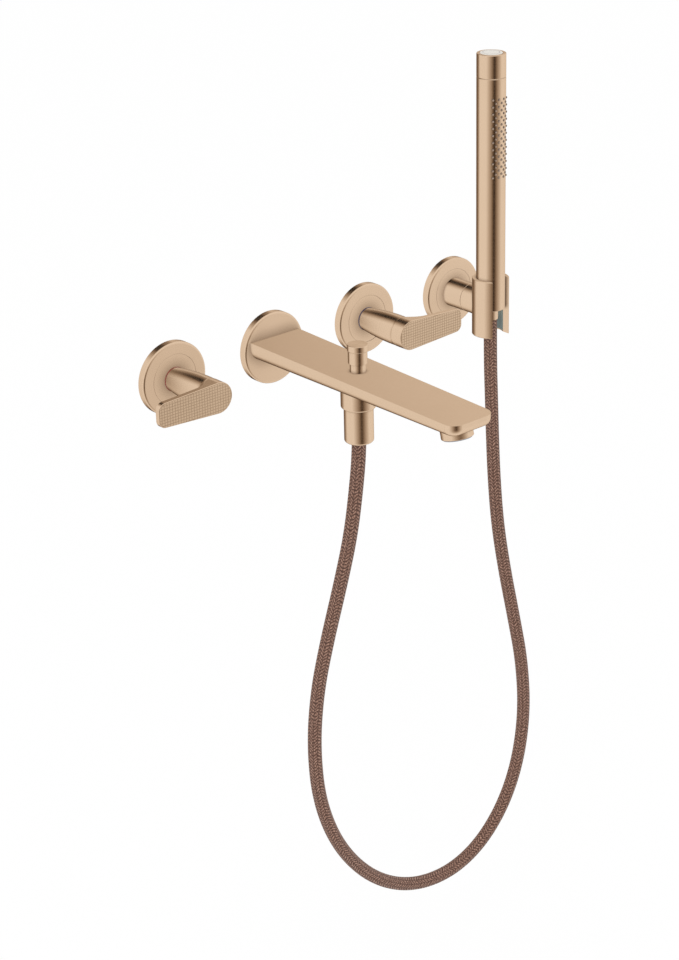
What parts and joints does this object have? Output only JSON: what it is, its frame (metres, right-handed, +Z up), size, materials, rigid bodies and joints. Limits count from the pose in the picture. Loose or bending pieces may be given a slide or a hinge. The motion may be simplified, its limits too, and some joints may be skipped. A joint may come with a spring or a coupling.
{
  "type": "wall mounted bath faucet",
  "caption": "Wall mounted bath faucet: lever valves, a flat tapering spout with a pull diverter, and a slim hand shower in a slotted wall holder on a long hose.",
  "frame": {"origin": "centre of the spout's rosette on the wall", "axes": "+Y into the wall, -Y out into the room along the spout, +Z up, +X to the right seen from the room"},
  "size_m": [0.4155, 0.283, 0.7983],
  "materials": {
    "bronze": "brushed red-gold plating",
    "brass": "machined",
    "ceramic": "lapped",
    "seal": "moulded",
    "screw": "plain stainless",
    "hot_mark": "gloss red",
    "cold_mark": "gloss blue",
    "aerator": "satin grey",
    "inner_plastic": "moulded",
    "hose": "braided under a clear sheath",
    "liner": "moulded",
    "nozzle": "soft silicone",
    "button": "satin off-white"
  },
  "bodies": {
    "wall_set": {"aerator_housing": "bronze", "aerator_insert": "aerator", "aerator_seal": "seal", "check_valve": "inner_plastic", "cold_escutcheon": "bronze", "cold_fixed_disc": "ceramic", "cold_headwork": "brass", "cold_index_ring": "cold_mark", "cold_inner_disc": "bronze", "cold_seat_seal": "seal", "cold_spindle_ring": "seal", "diverter_bush": "bronze", "diverter_ring": "seal", "holder_arm": "bronze", "holder_escutcheon": "bronze", "holder_inner_disc": "bronze", "holder_liner": "liner", "holder_screw": "screw", "holder_shell": "bronze", "holder_stud": "screw", "hose_nut": "bronze", "hose_outlet": "bronze", "hose_tail": "brass", "hose_washer": "seal", "hot_escutcheon": "bronze", "hot_fixed_disc": "ceramic", "hot_headwork": "brass", "hot_index_ring": "hot_mark", "hot_inner_disc": "bronze", "hot_seat_seal": "seal", "hot_spindle_ring": "seal", "shower_hose": "hose", "spout_body": "bronze", "spout_escutcheon": "bronze", "spout_ring": "seal", "spout_screw": "screw", "spout_shank": "brass"},
    "hot_lever": {"hot_handle": "bronze", "hot_handle_screw": "screw", "hot_spindle": "brass", "hot_moving_disc": "ceramic"},
    "cold_lever": {"cold_handle": "bronze", "cold_handle_screw": "screw", "cold_spindle": "brass", "cold_moving_disc": "ceramic"},
    "diverter": {"diverter_stem": "brass", "diverter_seal": "seal", "diverter_grip": "bronze", "diverter_cap": "bronze"},
    "hose_end": {"hose_ferrule": "bronze"},
    "handset": {"handset_connector": "brass", "handset_tube": "bronze", "handset_waterway": "inner_plastic", "nozzle_mat": "nozzle", "handset_head": "bronze", "button_spring": "screw"},
    "button": {"spray_button": "button", "selector_stem": "inner_plastic"}
  },
  "joints": [
    {"name": "hot_handle_turn", "type": "hinge", "parent": "wall_set", "child": "hot_lever", "pos_m": [-0.1075, -0.03, 0], "axis": [0, -1, 0], "range_deg": [0, 90]},
    {"name": "cold_handle_turn", "type": "hinge", "parent": "wall_set", "child": "cold_lever", "pos_m": [0.1075, -0.03, 0], "axis": [0, 1, 0], "range_deg": [0, 90]},
    {"name": "diverter_pull", "type": "slide", "parent": "wall_set", "child": "diverter", "axis": [0, 0, 1], "range_m": [0, 0.006]},
    {"name": "handset_lift", "type": "slide", "parent": "wall_set", "child": "hose_end", "axis": [0, 0, 1], "range_m": [0, 0.06], "deforming": ["shower_hose"]},
    {"name": "handset_spin", "type": "hinge", "parent": "hose_end", "child": "handset", "pos_m": [0.215, -0.0563, 0], "axis": [0, 0, 1], "continuous": true},
    {"name": "spray_button_press", "type": "slide", "parent": "handset", "child": "button", "axis": [0, 0, -1], "range_m": [0, 0.0025], "stiffness_N_per_m": 800, "springref_m": -0.001, "deforming": ["button_spring"]}
  ]
}
